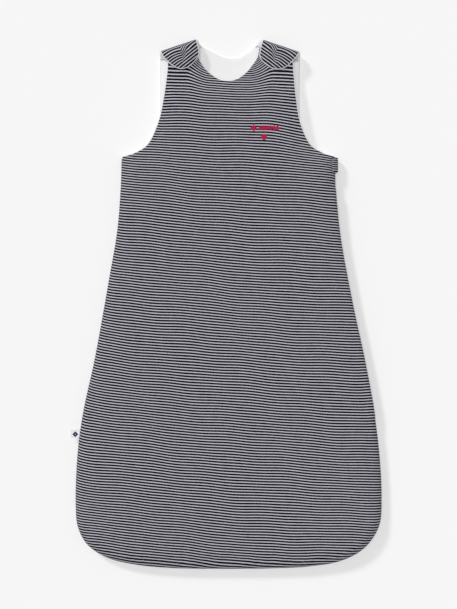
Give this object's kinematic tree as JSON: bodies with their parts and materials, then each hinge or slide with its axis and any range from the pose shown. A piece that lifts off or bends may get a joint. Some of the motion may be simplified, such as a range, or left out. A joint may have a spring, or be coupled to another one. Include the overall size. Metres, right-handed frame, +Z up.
{
  "type": "baby sleeping bag",
  "caption": "Sleeveless quilted baby sleeping bag in fine navy and grey stripes, with folded shoulder tabs on press studs, white edgings and a side zip.",
  "frame": {"origin": "middle of the bounding box, on the surface that the bag lies on", "axes": "+Y from the foot to the shoulders, +Z up out of the front panel, +X across the bag to the zip side"},
  "size_m": [0.4418, 0.7496, 0.0214],
  "materials": {
    "striped_jersey": "yarn-dyed single jersey with fine navy and pale grey stripes",
    "wadding": "soft polyester wadding",
    "lining_jersey": "plain white jersey",
    "edging_jersey": "white rib binding, stitched",
    "zip_tape": "navy woven tape",
    "zip_plastic": "navy moulded plastic",
    "slider_metal": "navy lacquered zinc",
    "stud_metal": "nickel-free bright steel",
    "ribbon": "white woven ribbon with a small navy lozenge",
    "satin_label": "white satin ribbon, blank",
    "embroidery_thread": "crimson satin stitch"
  },
  "bodies": {
    "bag": {"back_armhole_edging_left": "edging_jersey", "back_armhole_edging_right": "edging_jersey", "back_neck_edging": "edging_jersey", "care_label": "satin_label", "chest_embroidery": "embroidery_thread", "front_armhole_edging_left": "edging_jersey", "front_armhole_edging_right": "edging_jersey", "front_neck_edging": "edging_jersey", "lining_back": "lining_jersey", "lining_front": "lining_jersey", "outer_back": "striped_jersey", "outer_front": "striped_jersey", "padding_back": "wadding", "padding_front": "wadding", "side_label": "ribbon", "strap_fold_left": "striped_jersey", "strap_fold_right": "striped_jersey", "stud_left": "stud_metal", "stud_right": "stud_metal", "stud_ring_left": "stud_metal", "stud_ring_right": "stud_metal", "zip_bottom_stop": "zip_plastic", "zip_guard": "striped_jersey", "zip_tape_back": "zip_tape", "zip_tape_front": "zip_tape", "zip_teeth_back": "zip_plastic", "zip_teeth_front": "zip_plastic", "zip_top_stops": "zip_plastic"},
    "tab_left": {"tab_edging_left": "edging_jersey", "tab_lining_left": "lining_jersey", "tab_outer_left": "striped_jersey", "tab_padding_left": "wadding", "tab_socket_left": "stud_metal", "tab_socket_ring_left": "stud_metal"},
    "tab_right": {"tab_edging_right": "edging_jersey", "tab_lining_right": "lining_jersey", "tab_outer_right": "striped_jersey", "tab_padding_right": "wadding", "tab_socket_right": "stud_metal", "tab_socket_ring_right": "stud_metal"},
    "slider": {"zip_slider": "slider_metal"},
    "pull": {"zip_pull": "slider_metal"}
  },
  "joints": [
    {"name": "tab_left_hinge", "type": "hinge", "parent": "bag", "child": "tab_left", "pos_m": [-0.03903, 0.36466, 0.0107], "axis": [-0.9478, -0.3189, 0], "range_deg": [0, 120], "deforming": ["strap_fold_left"]},
    {"name": "tab_right_hinge", "type": "hinge", "parent": "bag", "child": "tab_right", "pos_m": [0.04594, 0.36466, 0.0107], "axis": [-0.9478, 0.3189, 0], "range_deg": [0, 120], "deforming": ["strap_fold_right"]},
    {"name": "zip_slide", "type": "slide", "parent": "bag", "child": "slider", "axis": [0.1762, -0.9844, 0], "range_m": [0, 0.299], "deforming": ["zip_teeth_front", "zip_teeth_back"]},
    {"name": "pull_hinge", "type": "hinge", "parent": "slider", "child": "pull", "pos_m": [0.15365, 0.15004, 0.009], "axis": [0, 0, 1], "range_deg": [0, 135]}
  ]
}
